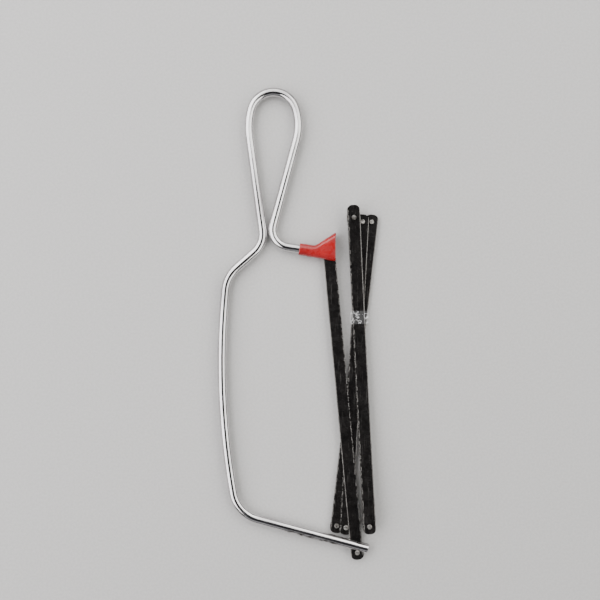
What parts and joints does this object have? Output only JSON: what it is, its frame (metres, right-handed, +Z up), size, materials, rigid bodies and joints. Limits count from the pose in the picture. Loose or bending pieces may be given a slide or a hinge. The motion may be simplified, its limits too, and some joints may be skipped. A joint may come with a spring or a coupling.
{
  "type": "junior hacksaw",
  "caption": "Junior hacksaw bent from one round rod, with a pin-ended blade, a soft sleeve over the rear arm and a tied bundle of spare blades.",
  "frame": {"origin": "middle of the bottom of the overall box, on the surface that the saw and its spare blades lie on", "axes": "+Z up, square to the plane of the saw; +Y from the front arm towards the hanging loop; +X is the side that the fitted blade's teeth face"},
  "size_m": [0.079, 0.2314, 0.0099],
  "materials": {
    "rod_plating": "bright plated",
    "blade_black": "black satin",
    "pin_steel": "dark bright steel",
    "red_sleeve": "glossy",
    "clear_film": "clear, crumpled"
  },
  "bodies": {
    "spare_pack": {"spare_1_lower_pin": "pin_steel", "spare_1_upper_pin": "pin_steel", "spare_2_lower_pin": "pin_steel", "spare_2_upper_pin": "pin_steel", "spare_3_lower_pin": "pin_steel", "spare_3_upper_pin": "pin_steel", "spare_4_lower_pin": "pin_steel", "spare_4_upper_pin": "pin_steel", "spare_5_lower_pin": "pin_steel", "spare_5_upper_pin": "pin_steel", "spare_blade_1": "blade_black", "spare_blade_2": "blade_black", "spare_blade_3": "blade_black", "spare_blade_4": "blade_black", "spare_blade_5": "blade_black", "spare_tie": "clear_film"},
    "saw_frame": {"frame_rod": "rod_plating"},
    "blade": {"fitted_blade": "blade_black", "fitted_front_pin": "pin_steel", "fitted_rear_pin": "pin_steel"},
    "sleeve": {"rear_arm_sleeve": "red_sleeve"}
  },
  "joints": [
    {"name": "saw_lift", "type": "slide", "parent": "spare_pack", "child": "saw_frame", "axis": [0, 0, 1], "range_m": [0, 0.04]},
    {"name": "blade_release", "type": "hinge", "parent": "saw_frame", "child": "blade", "pos_m": [0.02902, -0.11194, 0.00317], "axis": [0, 0, 1], "range_deg": [-1.75, 0]},
    {"name": "sleeve_slide", "type": "slide", "parent": "saw_frame", "child": "sleeve", "axis": [-0.9888, 0.149, 0], "range_m": [0, 0.0054]}
  ]
}
